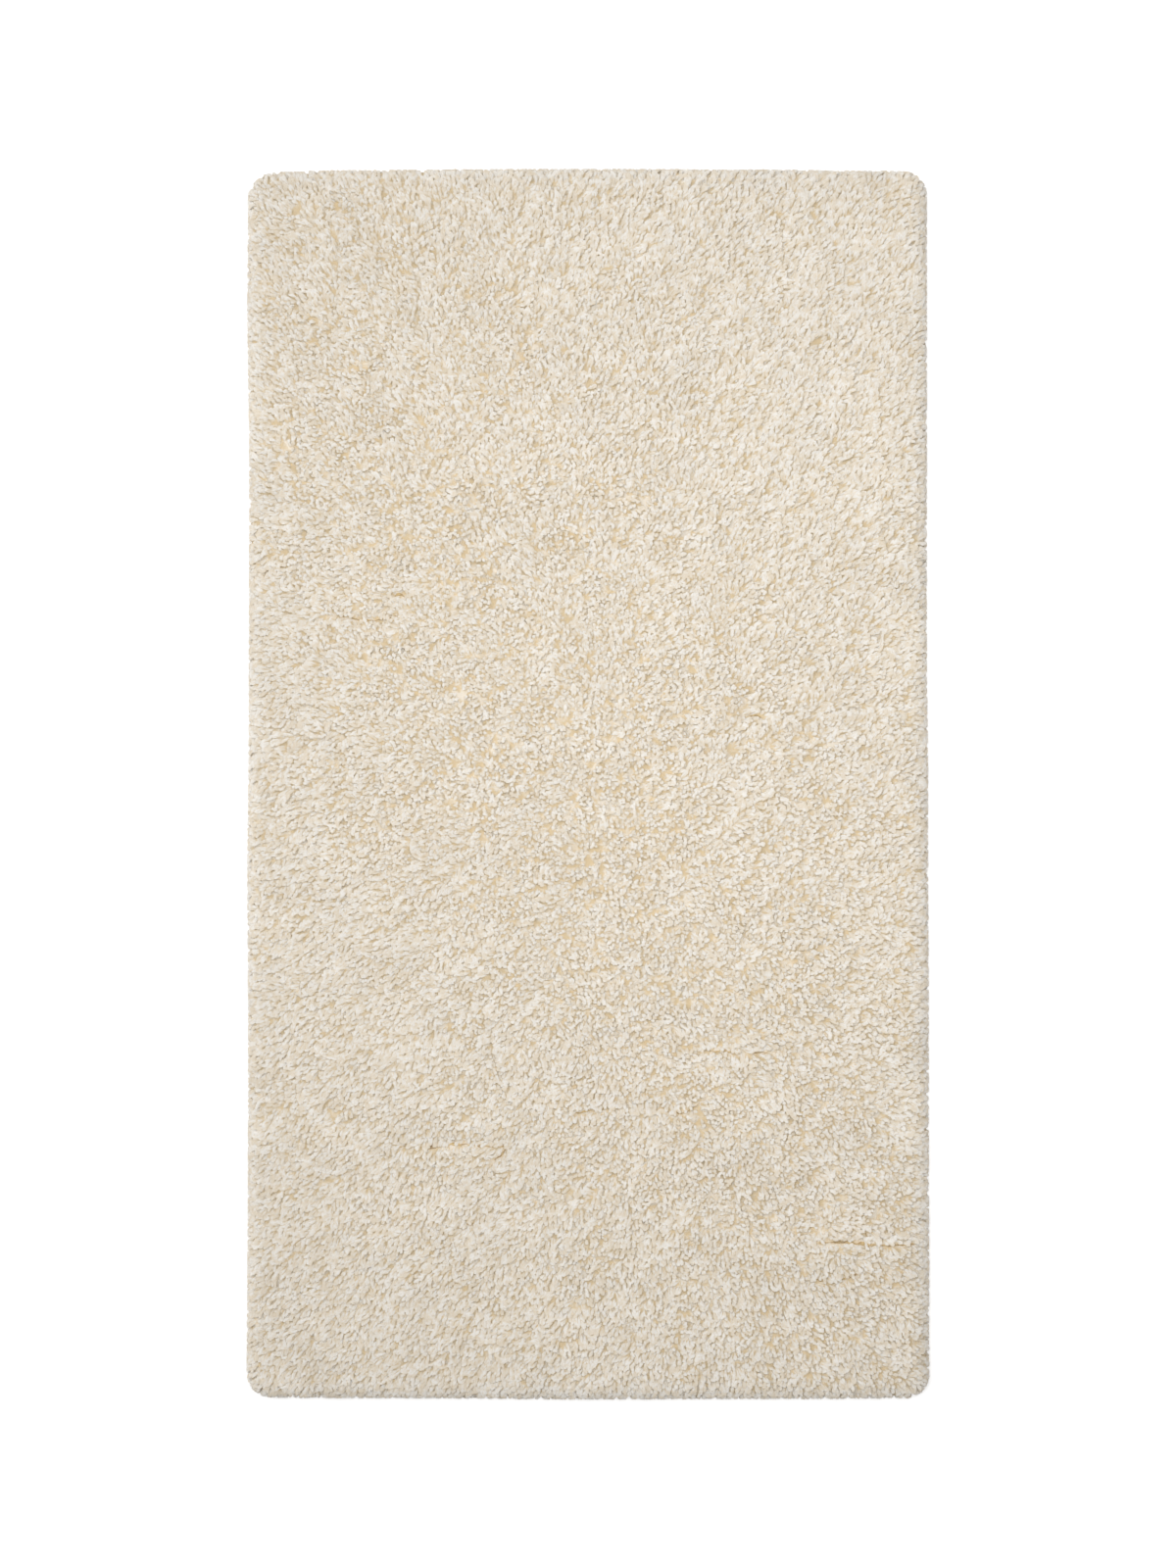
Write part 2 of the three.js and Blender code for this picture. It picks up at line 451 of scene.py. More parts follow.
def yarn_material(pile):
    """Soft two-ply wool yarn with painted shade: warmer and darker where it lies deep, faces down or stands
    between plies or curls.
    """
    material, pen, shader = new_material("cream_wool_yarn", roughness=0.95, sheen=0.0)
    along, own, facing, risen = (
        pen.add("ShaderNodeAttribute", output="Fac", attribute_name=name)
        for name in (ALONG, OWN, FACING, RISEN)
    )
    around = pen.add("ShaderNodeAttribute", output="Vector", attribute_name=ROUND)
    plies = pen.effect("yarn_plies", round=around, along=along, own=own)
    # Painted shade: the colour turns to the deep shade colour in crevices, on sides that face down, in the
    # grooves between plies and between curls.
    height = pen.times(
        pen.ramp(risen, low=-0.4, high=0.15),
        pen.ramp(facing, low=-0.45, high=0.35),
        pen.ramp(plies, 0.0, 1.0, to_low=0.8),
        pen.ramp(pen.effect("wool_curls"), 0.0, 1.0, to_low=0.64),
    )
    feed_wool(pen, shader, pile.tip_colour, pile.deep_shade_colour, height=height, own=own)
    feed_bump(pen, shader, plies, strength=0.2, distance=1.0 * MM)
    return material


def bed_material(pile):
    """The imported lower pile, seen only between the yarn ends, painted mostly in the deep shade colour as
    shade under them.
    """
    material, pen, shader = new_material("packed_wool", roughness=0.95, sheen=0.1)
    curls = pen.effect("wool_curls")
    # Painted shade: the bed leans to the deep shade colour, darkest between the curls.
    height = pen.ramp(curls, 0.0, 1.0, to_low=0.2, to_high=0.7)
    feed_wool(pen, shader, pile.tip_colour, pile.deep_shade_colour, height=height)
    fibre_share = 0.3
    rough = pen.plus(pen.times(pen.effect("wool_relief"), fibre_share), curls)
    feed_bump(pen, shader, rough, strength=0.7, distance=1.6 * MM)
    return material


def parting_shade_material(pile):
    """Painted shadow for the wool deep in a parting: dark wool colours where little light comes."""
    material, pen, shader = new_material("parted_wool", roughness=0.95, sheen=0.0)
    curls = pen.effect("wool_curls")
    feed_wool(pen, shader, pile.deep_shade_colour, pile.parting_shade_colour, height=curls)
    return material


def ground_material(ground):
    """Plain weave of undyed cotton thread."""
    material, pen, shader = new_material("woven_ground", roughness=0.9, sheen=0.15)
    place = pen.parts(pen.object_place())
    turn = math.pi / ground.thread_pitch
    warp, weft = (pen.math("SINE", pen.times(place[axis], turn)) for axis in (0, 1))
    threads = pen.math("MAXIMUM", pen.math("ABSOLUTE", warp), pen.math("ABSOLUTE", weft))
    crossing_share, thread_share, fibre_share = 0.5, 0.8, 0.5
    fibres = pen.times(pen.effect("wool_relief", fibre_size=0.6 * MM), fibre_share)
    crossings = pen.times(warp, weft, crossing_share)
    rough = pen.plus(crossings, pen.times(threads, thread_share), fibres)
    # Painted shade: the thread colour darkens between the threads.
    shade_between_threads = 0.55
    deep = [shade_between_threads * part for part in ground.colour]
    feed_wool(pen, shader, ground.colour, deep, height=pen.ramp(threads, low=0.35, high=0.8))
    feed_bump(pen, shader, rough, strength=0.7, distance=1.0 * MM)
    return material


# Pieces -------------------------------------------------------------


def placed(name, data):
    """A new object in the scene."""
    made = bpy.data.objects.new(name, data)
    bpy.context.scene.collection.objects.link(made)
    return made


def rug_solid():
    """The construction solid as a clean mesh with its shared corners merged."""
    solid = bmesh.new()
    solid.from_mesh(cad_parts["pile_rug"].data)
    bmesh.ops.remove_doubles(solid, verts=solid.verts, dist=0.01 * MM)
    return solid


def inside_outline(point, inset):
    """A point of the rug moved in from the outline, by the whole inset at the edge and less further in."""
    return point.x * (1 - inset / RUG_HALF_WIDTH), point.y * (1 - inset / RUG_HALF_LENGTH)


def soft_noise(place, size):
    """Soft noise around 0 with swells of about this size."""
    return noise.noise(place / size, noise_basis="PERLIN_NEW")


def object_from(solid, name, material, smooth):
    mesh = bpy.data.meshes.new(name)
    solid.to_mesh(mesh)
    solid.free()
    mesh.materials.append(material)
    mesh.polygons.foreach_set("use_smooth", [smooth] * len(mesh.polygons))
    return placed(name, mesh)


def finish_piece(piece):
    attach(piece, "root")
    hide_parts("pile_rug")


def make_ground(ground):
    """The ground: the outline of the underside, drawn in a little and given the cloth's thickness."""
    solid = rug_solid()
    underside = [corner for corner in solid.verts if corner.co.z < 0.01 * MM]
    rim = sorted(
        (corner for corner in underside if corner.co.length > ground.edge_inset),
        key=lambda corner: math.atan2(corner.co.y, corner.co.x),
    )
    underside_inset = RUG_HALF_WIDTH - max(corner.co.x for corner in rim)
    places = [inside_outline(corner.co, ground.edge_inset - underside_inset) for corner in rim]
    solid.free()
    cloth = bmesh.new()
    low = [cloth.verts.new((x, y, 0)) for x, y in places]
    high = [cloth.verts.new((x, y, ground.thickness)) for x, y in places]
    cloth.faces.new(reversed(low))
    cloth.faces.new(high)
    for i in range(len(places)):
        cloth.faces.new((low[i - 1], low[i], high[i], high[i - 1]))
    return object_from(cloth, "ground_cloth", ground_material(ground), smooth=False)


def split_long_edges(solid, longest):
    """Halves the edges that are longer than this, and leaves triangles."""
    long_edges = [edge for edge in solid.edges if edge.calc_length() > longest]
    bmesh.ops.subdivide_edges(solid, edges=long_edges, cuts=1)
    bmesh.ops.triangulate(solid, faces=solid.faces)


def make_bed(pile, ground):
    """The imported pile: the rug's own rounded shape, a little smaller, with low lumps in its top."""
    solid = rug_solid()
    sunk_in_ground = 0.5 * MM
    foot = ground.thickness - sunk_in_ground
    squash = (pile.bed_top - foot) / (CAD_HIGH.z - CAD_LOW.z)
    for corner in solid.verts:
        corner.co.x, corner.co.y = inside_outline(corner.co, pile.bed_inset)
        corner.co.z = foot + corner.co.z * squash
    split_long_edges(solid, 0.4 * pile.lump_size)
    solid.normal_update()
    broad_lumps, broad_share = 2.3 * pile.lump_size, 0.6
    for corner in solid.verts:
        swell = soft_noise(corner.co, pile.lump_size) + broad_share * soft_noise(corner.co, broad_lumps)
        corner.co.z += 2 * swell * pile.lump_height * max(0.0, corner.normal.z) ** 2
    piece = object_from(solid, "packed_pile", bed_material(pile), smooth=True)
    piece.data.attributes.remove(piece.data.attributes["custom_normal"])
    return piece


def rounded_path(corners, rounds=3):
    """Cuts the corners off a path a few times over, which turns it into a soft bend."""
    for _ in range(rounds):
        cut = [corners[0]]
        for before, after in zip(corners, corners[1:]):
            cut += [before.lerp(after, 0.25), before.lerp(after, 0.75)]
        corners = [*cut, corners[-1]]
    return corners


def parting_path(corners):
    """Points along a wavering parting in metres, with each one's share of the way and the way across."""
    waver, waver_size = 2.6 * MM, 7 * MM
    path = rounded_path([Vector((x, y, 0)) * MM for x, y in corners])
    path = [point + Vector((0, waver * soft_noise(point, waver_size), 0)) for point in path]
    for i, point in enumerate(path):
        ahead = path[min(i + 1, len(path) - 1)] - path[max(i - 1, 0)]
        yield point, i / (len(path) - 1), Vector((-ahead.y, ahead.x, 0)).normalized()


def make_parting_shade_pile(bed, pile):
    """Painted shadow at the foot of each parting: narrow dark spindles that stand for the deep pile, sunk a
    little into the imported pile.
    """
    surface = BVHTree.FromPolygons(
        [corner.co for corner in bed.data.vertices], [face.vertices for face in bed.data.polygons]
    )
    # A spindle's section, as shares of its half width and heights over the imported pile.
    section = ((1, -0.5 * MM), (0.5, 1.5 * MM), (-0.5, 1.5 * MM), (-1, -0.5 * MM))
    uneven_size = 8 * MM
    spindles = bmesh.new()
    for opening, corners in PARTINGS:
        rings = []
        for point, share, across in parting_path(corners):
            top = surface.ray_cast(point + Vector((0, 0, 1)), Vector((0, 0, -1)))[0].z
            unevenness = max(0.2, 0.8 + 1.5 * soft_noise(point, uneven_size))
            taper = 0.25 + 0.75 * math.sin(math.pi * share)
            half = 0.5 * pile.parting_gap * opening * unevenness * taper
            rings.append([
                spindles.verts.new(point + side * half * across + Vector((0, 0, top + lift)))
                for side, lift in section
            ])
        for before, after in zip(rings[:-1], rings[1:]):
            for i in range(4):
                spindles.faces.new((before[i - 1], before[i], after[i], after[i - 1]))
        spindles.faces.new(rings[0])
        spindles.faces.new(reversed(rings[-1]))
    bmesh.ops.recalc_face_normals(spindles, faces=spindles.faces)
    return object_from(spindles, "parted_pile", parting_shade_material(pile), smooth=False)


def parting_lines():
    """An object of loose edges that follow the partings, for the yarn ends to lean away from."""
    mesh = bpy.data.meshes.new("parting_lines")
    places, edges = [], []
    for _, corners in PARTINGS:
        for point, share, _ in parting_path(corners):
            places.append(point)
            if share > 0:
                edges.append((len(places) - 2, len(places) - 1))
    mesh.from_pydata(places, edges, [])
    return placed("parting_lines", mesh)


# Yarn ends ----------------------------------------------------------


def yarn_roots(pen):
    """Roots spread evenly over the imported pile, with the outward direction of the surface at each.

    None stands past the band's ends, on the underside, in a parting or in a crack between two locks.
    """
    given = pen.given
    spread = pen.node("GeometryNodeDistributePointsOnFaces", {
        "Mesh": given["Packed Pile"],
        "Distance Min": given["Spacing"],
        "Density Max": given["Density"],
        "Seed": given["Seed"],
    }, distribute_method="POISSON")
    normal = spread.outputs["Normal"]
    stored = pen.store(spread.outputs["Points"], ROOT_NORMAL, normal)
    way_along = pen.parts(pen.place())[1]
    crack_half = pen.times(crack_share(pen), given["Crack Gap"])
    unwanted = pen.either(
        pen.compare("LESS_THAN", way_along, given["Near End"]),
        pen.compare("GREATER_EQUAL", way_along, given["Far End"]),
        pen.compare("LESS_THAN", pen.parts(normal)[2], given["Least Rise"]),
        pen.compare("LESS_THAN", from_parting(pen)["Distance"], given["Parting Gap"]),
        pen.compare("LESS_THAN", yarn_lock(pen)[1], crack_half),
    )
    inputs = {"Geometry": stored, "Selection": unwanted}
    return pen.add("GeometryNodeDeleteGeometry", inputs, domain="POINT")


def from_parting(pen):
    """The nearest place on a parting and how far away it is, seen from above."""
    inputs = {"Geometry": pen.shape_of("Partings"), "Sample Position": pen.flat(pen.place())}
    return pen.node("GeometryNodeProximity", inputs, target_element="EDGES").outputs


def yarn_lock(pen):
    """The lock that each yarn end belongs to.

    Gives the way to the lock's middle in lock sizes, how far from the lock's border the yarn end stands, and
    three numbers from 0 to 1 that all yarn ends of the lock share. The locks are long one way and waver.
    """
    given = pen.given
    place = pen.place()
    scale = pen.over(1.0, given["Lock Size"])
    waver = pen.add("ShaderNodeTexNoise", {
        "Vector": place, "Scale": pen.times(scale, given["Lock Waver"]), "Detail": 1.0,
    }, output="Color")
    wavered = pen.vector("ADD", place, pen.centred(waver, given["Lock Size"]))
    turned = pen.add("ShaderNodeVectorRotate", {
        "Vector": wavered, "Angle": pen.times(given["Lock Angle"], -1.0),
    })
    drawn = pen.vector("MULTIPLY", turned, pen.joined(given["Lock Width"], 1.0, 1.0))
    inputs = {"Vector": drawn, "Scale": scale}
    cells = pen.node("ShaderNodeTexVoronoi", inputs).outputs
    border = pen.add("ShaderNodeTexVoronoi", inputs, output="Distance", feature="DISTANCE_TO_EDGE")
    inward = pen.scaled(pen.vector("SUBTRACT", cells["Position"], drawn), scale)
    inward = pen.add("ShaderNodeVectorRotate", {"Vector": inward, "Angle": given["Lock Angle"]})
    return inward, pen.over(border, scale), cells["Color"]


def crack_share(pen):
    """How far the locks stand apart around each yarn end, from 0 where they are felted together to 1."""
    return pen.ramp(pen.clouds(pen.place(), pen.given["Crack Spread"], 1.0), low=0.42, high=0.62)


def yarn_lean(pen):
    """The way each yarn end leans, as a vector.

    It adds up the yarn end's own whim, its lock, its patch, the partings, the edge and the comb, and a pull
    down, which counts on the rug's steep sides.
    """
    given = pen.given
    place = pen.place()

    own = pen.add("FunctionNodeRandomValue", {
        0: (-1, -1, 0), 1: (1, 1, 0), "Seed": pen.plus(given["Seed"], LEAN_DRAW),
    }, data_type="FLOAT_VECTOR")

    gather, _, lock_numbers = yarn_lock(pen)
    lock = pen.centred(lock_numbers, 2.0)
    patch = pen.centred(pen.clouds(place, given["Patch Size"], 1.5, output="Color"), 4.0)

    nearest = from_parting(pen)
    away = pen.vector("NORMALIZE", pen.vector("SUBTRACT", pen.flat(place), nearest["Position"]))
    parted = pen.ramp(nearest["Distance"], 0.0, given["Parting Width"], 1.0, 0.0)

    band = pen.joined(given["Edge Band"], given["Edge Band"], 0)
    inner = pen.vector("SUBTRACT", given["Half Size"], band)
    beyond = pen.vector("SUBTRACT", pen.vector("ABSOLUTE", place), inner)
    beyond = pen.flat(pen.vector("MAXIMUM", beyond, (0, 0, 0)))
    outward = pen.vector("MULTIPLY", pen.vector("SIGN", place), beyond)
    edge = pen.scaled(outward, pen.over(1.0, given["Edge Band"]))

    from_middle = pen.vector("DIVIDE", place, given["Half Size"])
    across, along, _ = pen.parts(from_middle)
    skewed = pen.scaled(pen.joined(along, across, 0.0), given["Comb Skew"])
    combed = pen.vector("ADD", pen.flat(from_middle), skewed)

    return pen.total(
        pen.scaled(own, given["Own Lean"]),
        pen.scaled(lock, given["Lock Lean"]),
        pen.scaled(gather, given["Lock Gather"]),
        pen.scaled(patch, given["Patch Lean"]),
        pen.scaled(away, pen.times(parted, given["Parting Lean"])),
        pen.scaled(edge, given["Edge Lean"]),
        pen.scaled(combed, given["Outward Lean"]),
        pen.joined(0.0, 0.0, given["Pull Down"]),
    )


def yarn_lines(pen, roots):
    """One short line for each root, with what it needs to bend stored on it."""
    given = pen.given
    normal = pen.read(ROOT_NORMAL)
    lean = yarn_lean(pen)
    across = pen.vector("SUBTRACT", lean, pen.scaled(normal, pen.dot(lean, normal)))
    lean_share = pen.ramp(pen.length(across), 0.0, high=1.2, to_low=0.2, smooth=False)
    _, border, lock_numbers = yarn_lock(pen)
    lock = pen.parts(lock_numbers)[2]
    reach = pen.times(pen.random(0.88, 1.12, REACH_DRAW), pen.ramp(lock, 0, 1, 0.88, 1.12))
    crack = pen.times(pen.ramp(border, 0.0, given["Crack Slope"], 1.0, 0.0), crack_share(pen))
    longest = 1.06
    reach = pen.times(reach, pen.minus(longest, pen.times(crack, given["Crack Depth"])))
    own = pen.random(0.0, 1.0, SHADE_DRAW)
    values = {
        "root_place": pen.place(),
        "lean_way": pen.vector("NORMALIZE", across),
        "tip_angle": pen.times(lean_share, given["Tip Lean"]),
        "yarn_reach": reach,
        "yarn_girth": pen.random(0.82, 1.12, GIRTH_DRAW),
        "yarn_curl": pen.random(-0.6, 0.6, CURL_DRAW),
        OWN: pen.blend(given["Lock Share"], own, lock),
        YARN: pen.add("GeometryNodeInputIndex"),
    }
    for name, value in values.items():
        roots = pen.store(roots, name, value)
    line = pen.add("GeometryNodeCurvePrimitiveLine", {"Start": (0, 0, 0), "End": (0, 0, 1)})
    line = pen.add("GeometryNodeResampleCurve", {"Curve": line, "Count": given["Steps"]})
    lines = pen.add("GeometryNodeInstanceOnPoints", {"Points": roots, "Instance": line})
    return pen.add("GeometryNodeRealizeInstances", {"Geometry": lines})


def bent_lines(pen, lines):
    """Bends each line into a part of a circle that leans from the root on and may curl to one side."""
    given = pen.given
    along = pen.add("GeometryNodeSplineParameter", output="Factor")
    # The steps are shorter near the tip, so that the tip is blunt.
    bluntness = 1.45
    share = pen.minus(1.0, pen.math("POWER", pen.minus(1.0, along), bluntness))
    lines = pen.store(lines, ALONG, share)
    share = pen.read(ALONG)
    normal, way = pen.read(ROOT_NORMAL), pen.read("lean_way")
    reach = pen.times(given["Yarn Length"], pen.read("yarn_reach"))
    tip_angle = pen.read("tip_angle")
    root_angle = pen.times(tip_angle, given["Root Lean"])
    bend = pen.minus(tip_angle, root_angle)
    radius = pen.over(reach, bend)
    angle = pen.math("MULTIPLY_ADD", bend, share, root_angle)
    fall = pen.minus(pen.math("COSINE", root_angle), pen.math("COSINE", angle))
    rise = pen.minus(pen.math("SINE", angle), pen.math("SINE", root_angle))
    side = pen.vector("CROSS_PRODUCT", normal, way)
    turn = pen.times(pen.read("yarn_curl"), share)
    heading = pen.total(
        pen.scaled(way, pen.math("COSINE", turn)),
        pen.scaled(side, pen.math("SINE", turn)),
    )
    place = pen.total(
        pen.read("root_place"),
        pen.scaled(heading, pen.times(radius, fall)),
        pen.scaled(normal, pen.minus(pen.times(radius, rise), given["Root Depth"])),
    )
    return pen.add("GeometryNodeSetPosition", {"Geometry": lines, "Position": trimmed(pen, place)})


def trimmed(pen, place):
    """Moves points that stick out of the rug's shape a little way into it, as shears trim a pile."""
    inputs = {"Geometry": pen.shape_of("Shape"), "Sample Position": place}
    nearest = pen.node("GeometryNodeProximity", inputs, target_element="FACES").outputs
    offset = pen.vector("SUBTRACT", place, nearest["Position"])
    side = pen.math("SIGN", pen.dot(offset, pen.read(ROOT_NORMAL)))
    height = pen.times(nearest["Distance"], side)
    outward = pen.vector("NORMALIZE", pen.scaled(offset, side))
    excess = pen.math("MAXIMUM", pen.plus(height, pen.given["Trim Depth"]), 0.0)
    return pen.vector("SUBTRACT", place, pen.scaled(outward, excess))


def yarn_tubes(pen, lines):
    """Gives each bent line its soft flattened body, thinner at the root and drawn in at the tip."""
    given = pen.given
    share = pen.read(ALONG)
    swell = pen.ramp(share, 0.0, 0.5, to_low=0.8)
    blunt = pen.ramp(share, 0.7, 1.0, 1.0, to_high=0.6)
    # A ring of three corners with this radius is as wide as the yarn is thick.
    ring_share = 0.577
    radius = pen.times(swell, blunt, pen.read("yarn_girth"), given["Yarn Thickness"], ring_share)
    ring = pen.add("GeometryNodeCurvePrimitiveCircle", {"Resolution": given["Sides"], "Radius": 1.0})
    turn = pen.times(pen.add("GeometryNodeSplineParameter", output="Factor"), 2 * math.pi)
    circle = pen.joined(pen.math("COSINE", turn), pen.math("SINE", turn), 0.0)
    ring = pen.store(ring, ROUND, circle)
    flattened = pen.vector("MULTIPLY", pen.place(), pen.joined(given["Flatness"], 1.0, 1.0))
    ring = pen.add("GeometryNodeSetPosition", {"Geometry": ring, "Position": flattened})
    tangent = pen.add("GeometryNodeInputTangent")
    normal = pen.read(ROOT_NORMAL)
    upward = pen.vector("SUBTRACT", normal, pen.scaled(tangent, pen.dot(tangent, normal)))
    inputs = {"Curve": lines, "Normal": pen.vector("NORMALIZE", upward)}
    lines = pen.add("GeometryNodeSetCurveNormal", inputs, mode="FREE")
    return pen.add("GeometryNodeCurveToMesh", {
        "Curve": lines, "Profile Curve": ring, "Scale": radius, "Fill Caps": True,
    })


def yarn_tree():
    """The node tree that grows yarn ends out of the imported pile."""
    pen, given = new_group("yarn_ends", "Geometry", {
        "Geometry": {"Packed Pile": None},
        "Object": {"Shape": None, "Partings": None},
        "Material": {"Wool": None},
        "Vector": {"Half Size": (0.5, 0.9, 1.0)},
        "Int": {"Steps": 3, "Sides": 3, "Seed": 0},
        "Float": {
            "Near End": -1.0, "Far End": 1.0, "Spacing": 0.007, "Density": 160000.0, "Least Rise": -0.35,
            "Yarn Length": 0.014, "Yarn Thickness": 0.0055, "Flatness": 0.42,
            "Root Depth": 0.0015, "Trim Depth": 0.002,
            "Tip Lean": 1.1, "Root Lean": 0.5, "Own Lean": 0.33, "Pull Down": -1.5,
            "Lock Size": 0.015, "Lock Width": 0.55, "Lock Angle": math.radians(40), "Lock Waver": 0.7,
            "Lock Share": 0.6, "Lock Lean": 0.35, "Lock Gather": 0.42,
            "Crack Gap": 0.0005, "Crack Slope": 0.003, "Crack Depth": 0.45, "Crack Spread": 0.035,
            "Patch Size": 0.07, "Patch Lean": 0.35,
            "Outward Lean": 0.95, "Comb Skew": 0.5,
            "Edge Band": 0.06, "Edge Lean": 1.2,
            "Parting Gap": 0.0013, "Parting Width": 0.0060, "Parting Lean": 1.1,
        },
    }, ("Yarn Ends", "Geometry"))
    tubes = yarn_tubes(pen, bent_lines(pen, yarn_lines(pen, yarn_roots(pen))))
    smooth = pen.add("GeometryNodeSetShadeSmooth", {"Geometry": tubes})
    real = pen.add("GeometryNodeRealizeInstances", {"Geometry": smooth})
    return pen.finished(pen.add("GeometryNodeSetMaterial", {"Geometry": real, "Material": given["Wool"]}))


def set_inputs(modifier, values):
    """Sets a node modifier's inputs, which are known by their sockets' identifiers."""
    identifiers = {
        item.name: item.identifier
        for item in modifier.node_group.interface.items_tree
        if item.item_type == "SOCKET" and item.in_out == "INPUT"
    }
    for name, value in values.items():
        modifier[identifiers[name]] = value


def grown_mesh(bed, tree, values, name):
    """The yarn ends of one band of the rug, as a plain mesh."""
    carrier = placed("yarn_carrier", bed.data)
    modifier = carrier.modifiers.new("yarn_ends", "NODES")
    modifier.node_group = tree
    set_inputs(modifier, values)
    mesh = bpy.data.meshes.new_from_object(carrier.evaluated_get(bpy.context.evaluated_depsgraph_get()))
    mesh.name = name
    carrier.modifiers.clear()
    bpy.data.objects.remove(carrier)
    return mesh


def numbers(items, field, width=1, kind=np.float32):
    """One field of all vertices, corners, faces or attribute values, as an array."""
    found = np.empty(len(items) * width, kind)
    items.foreach_get(field, found)
    return found.reshape(-1, width) if width > 1 else found


def root_normals(mesh):
    return numbers(mesh.attributes[ROOT_NORMAL].data, "vector", 3)


def store_numbers(mesh, name, values):
    mesh.attributes.new(name, "FLOAT", "POINT").data.foreach_set("value", values.astype(np.float32))


def past_edge_band(places, edge_band):
    """How far places lie into the band along the edge, as a flat vector that points out of the rug."""
    reach = np.array([RUG_HALF_WIDTH - edge_band, RUG_HALF_LENGTH - edge_band, 1.0])
    return np.sign(places) * np.maximum(np.abs(places) - reach, 0) / edge_band


def edge_depth(places, edge_band):
    """How far places lie into the band along the edge, as a plain number."""
    return np.linalg.norm(past_edge_band(places, edge_band), axis=1)


def soften(mesh, pile):
    """Turns the shading of every yarn end most of the way towards that of the pile as a whole.

    Loose wool passes light on from side to side, so its yarn ends show far less of a bright and a dark side
    than solid cords would.
    """
    mesh.attributes.remove(mesh.attributes["sharp_edge"])
    own = numbers(mesh.vertices, "normal", 3)
    shared = root_normals(mesh)
    places = numbers(mesh.vertices, "co", 3)
    # Along the rim the painted shade is lessened, so that the yarn ends falling over the edge take more of
    # the tip colour.
    rim_share = 0.2
    facing = (own * shared).sum(axis=1) + rim_share * edge_depth(places, pile.edge_band)
    store_numbers(mesh, FACING, facing)
    upward = np.float32((0, 0, 2.5))
    rolled = shared + upward + pile.edge_roll * past_edge_band(places, pile.roll_band)
    rolled /= np.linalg.norm(rolled, axis=1, keepdims=True)
    mesh.normals_split_custom_set_from_vertices((1 - pile.softness) * own + pile.softness * rolled)


def box_sum(grid, reach):
    """The sum of each cell and its neighbours, as many cells to every side as the reach says."""
    span = 2 * reach + 1
    for axis in (0, 1):
        margins = [(reach, reach) if side == axis else (0, 0) for side in (0, 1)]
        total = np.cumsum(np.insert(np.pad(grid, margins), 0, 0, axis), axis)
        last = total.shape[axis]
        grid = np.take(total, range(span, last), axis) - np.take(total, range(last - span), axis)
    return grid


def measure_rise(meshes, pile, cell=2 * MM, reach=2):
    """Stores how far each point rises over the pile around it: 0.5 at its level, 0 deep below, 1 high above.

    The level is the mean height of the highest points in small square cells. On steep sides, where it says
    little, every point counts as level. The wool's colour takes painted shade where a point lies low, and
    less of it along the rim.
    """
    places = [numbers(mesh.vertices, "co", 3) for mesh in meshes]
    every = np.concatenate(places)
    corner = every[:, :2].min(axis=0)
    cells = [((place[:, :2] - corner) / cell).astype(np.int32) for place in places]
    every_cell = np.concatenate(cells)
    top = np.zeros(every_cell.max(axis=0) + 1, np.float32)
    np.maximum.at(top, tuple(every_cell.T), every[:, 2])
    level = box_sum(top, reach) / np.maximum(box_sum((top > 0).astype(np.float32), reach), 1)
    # Along the rim the rise is lifted, which lessens the painted shade there.
    rim_share = 0.15
    for mesh, place, at in zip(meshes, places, cells):
        counts = np.clip(2 * root_normals(mesh)[:, 2] - 0.8, 0, 1)
        rise = 0.5 + (place[:, 2] - level[tuple(at.T)]) / pile.relief * counts
        rise += rim_share * edge_depth(place, pile.edge_band)
        store_numbers(mesh, RISEN, np.clip(rise, 0, 1))


def lay_out_map(mesh):
    """Gives every yarn end a square of its own on the bake map: round it one way and along it the other."""
    corner_vertex = numbers(mesh.loops, "vertex_index", kind=np.int32)
    first = numbers(mesh.polygons, "loop_start", kind=np.int32)
    count = numbers(mesh.polygons, "loop_total", kind=np.int32)
    face = np.repeat(np.arange(len(first)), count)
    along = numbers(mesh.attributes[ALONG].data, "value")[corner_vertex]
    circle = numbers(mesh.attributes[ROUND].data, "vector", 3)[corner_vertex]
    yarn = numbers(mesh.attributes[YARN].data, "value", kind=np.int32)[corner_vertex]

    turn = np.arctan2(circle[:, 1], circle[:, 0]) / (2 * math.pi) % 1.0
    turn[turn > 0.999] = 0.0
    highest = np.maximum.reduceat(turn, first)[face]
    turn[(highest > 0.5) & (turn < 0.25)] += 1.0

    # The two ends of a yarn are flat faces across it, which lie in the corners of its square.
    is_end = (np.maximum.reduceat(along, first) - np.minimum.reduceat(along, first) < 0.001)[face]
    step = (np.arange(len(face)) - first[face]) / count[face] * 2 * math.pi
    end_middle, end_radius = np.where(along > 0.5, 0.88, 0.12), 0.07
    across = np.where(is_end, end_middle + end_radius * np.cos(step), 0.04 + 0.92 * turn)
    upward = np.where(is_end, 0.08 + end_radius * np.sin(step), 0.2 + 0.76 * along)

    order = np.unique(yarn, return_inverse=True)[1]
    squares = math.ceil(math.sqrt(order.max() + 1))
    places = np.stack([(order % squares + across) / squares, (order // squares + upward) / squares], 1)
    layer = mesh.uv_layers.new(name=BAKE_MAP)
    layer.uv.foreach_set("vector", places.astype(np.float32).ravel())


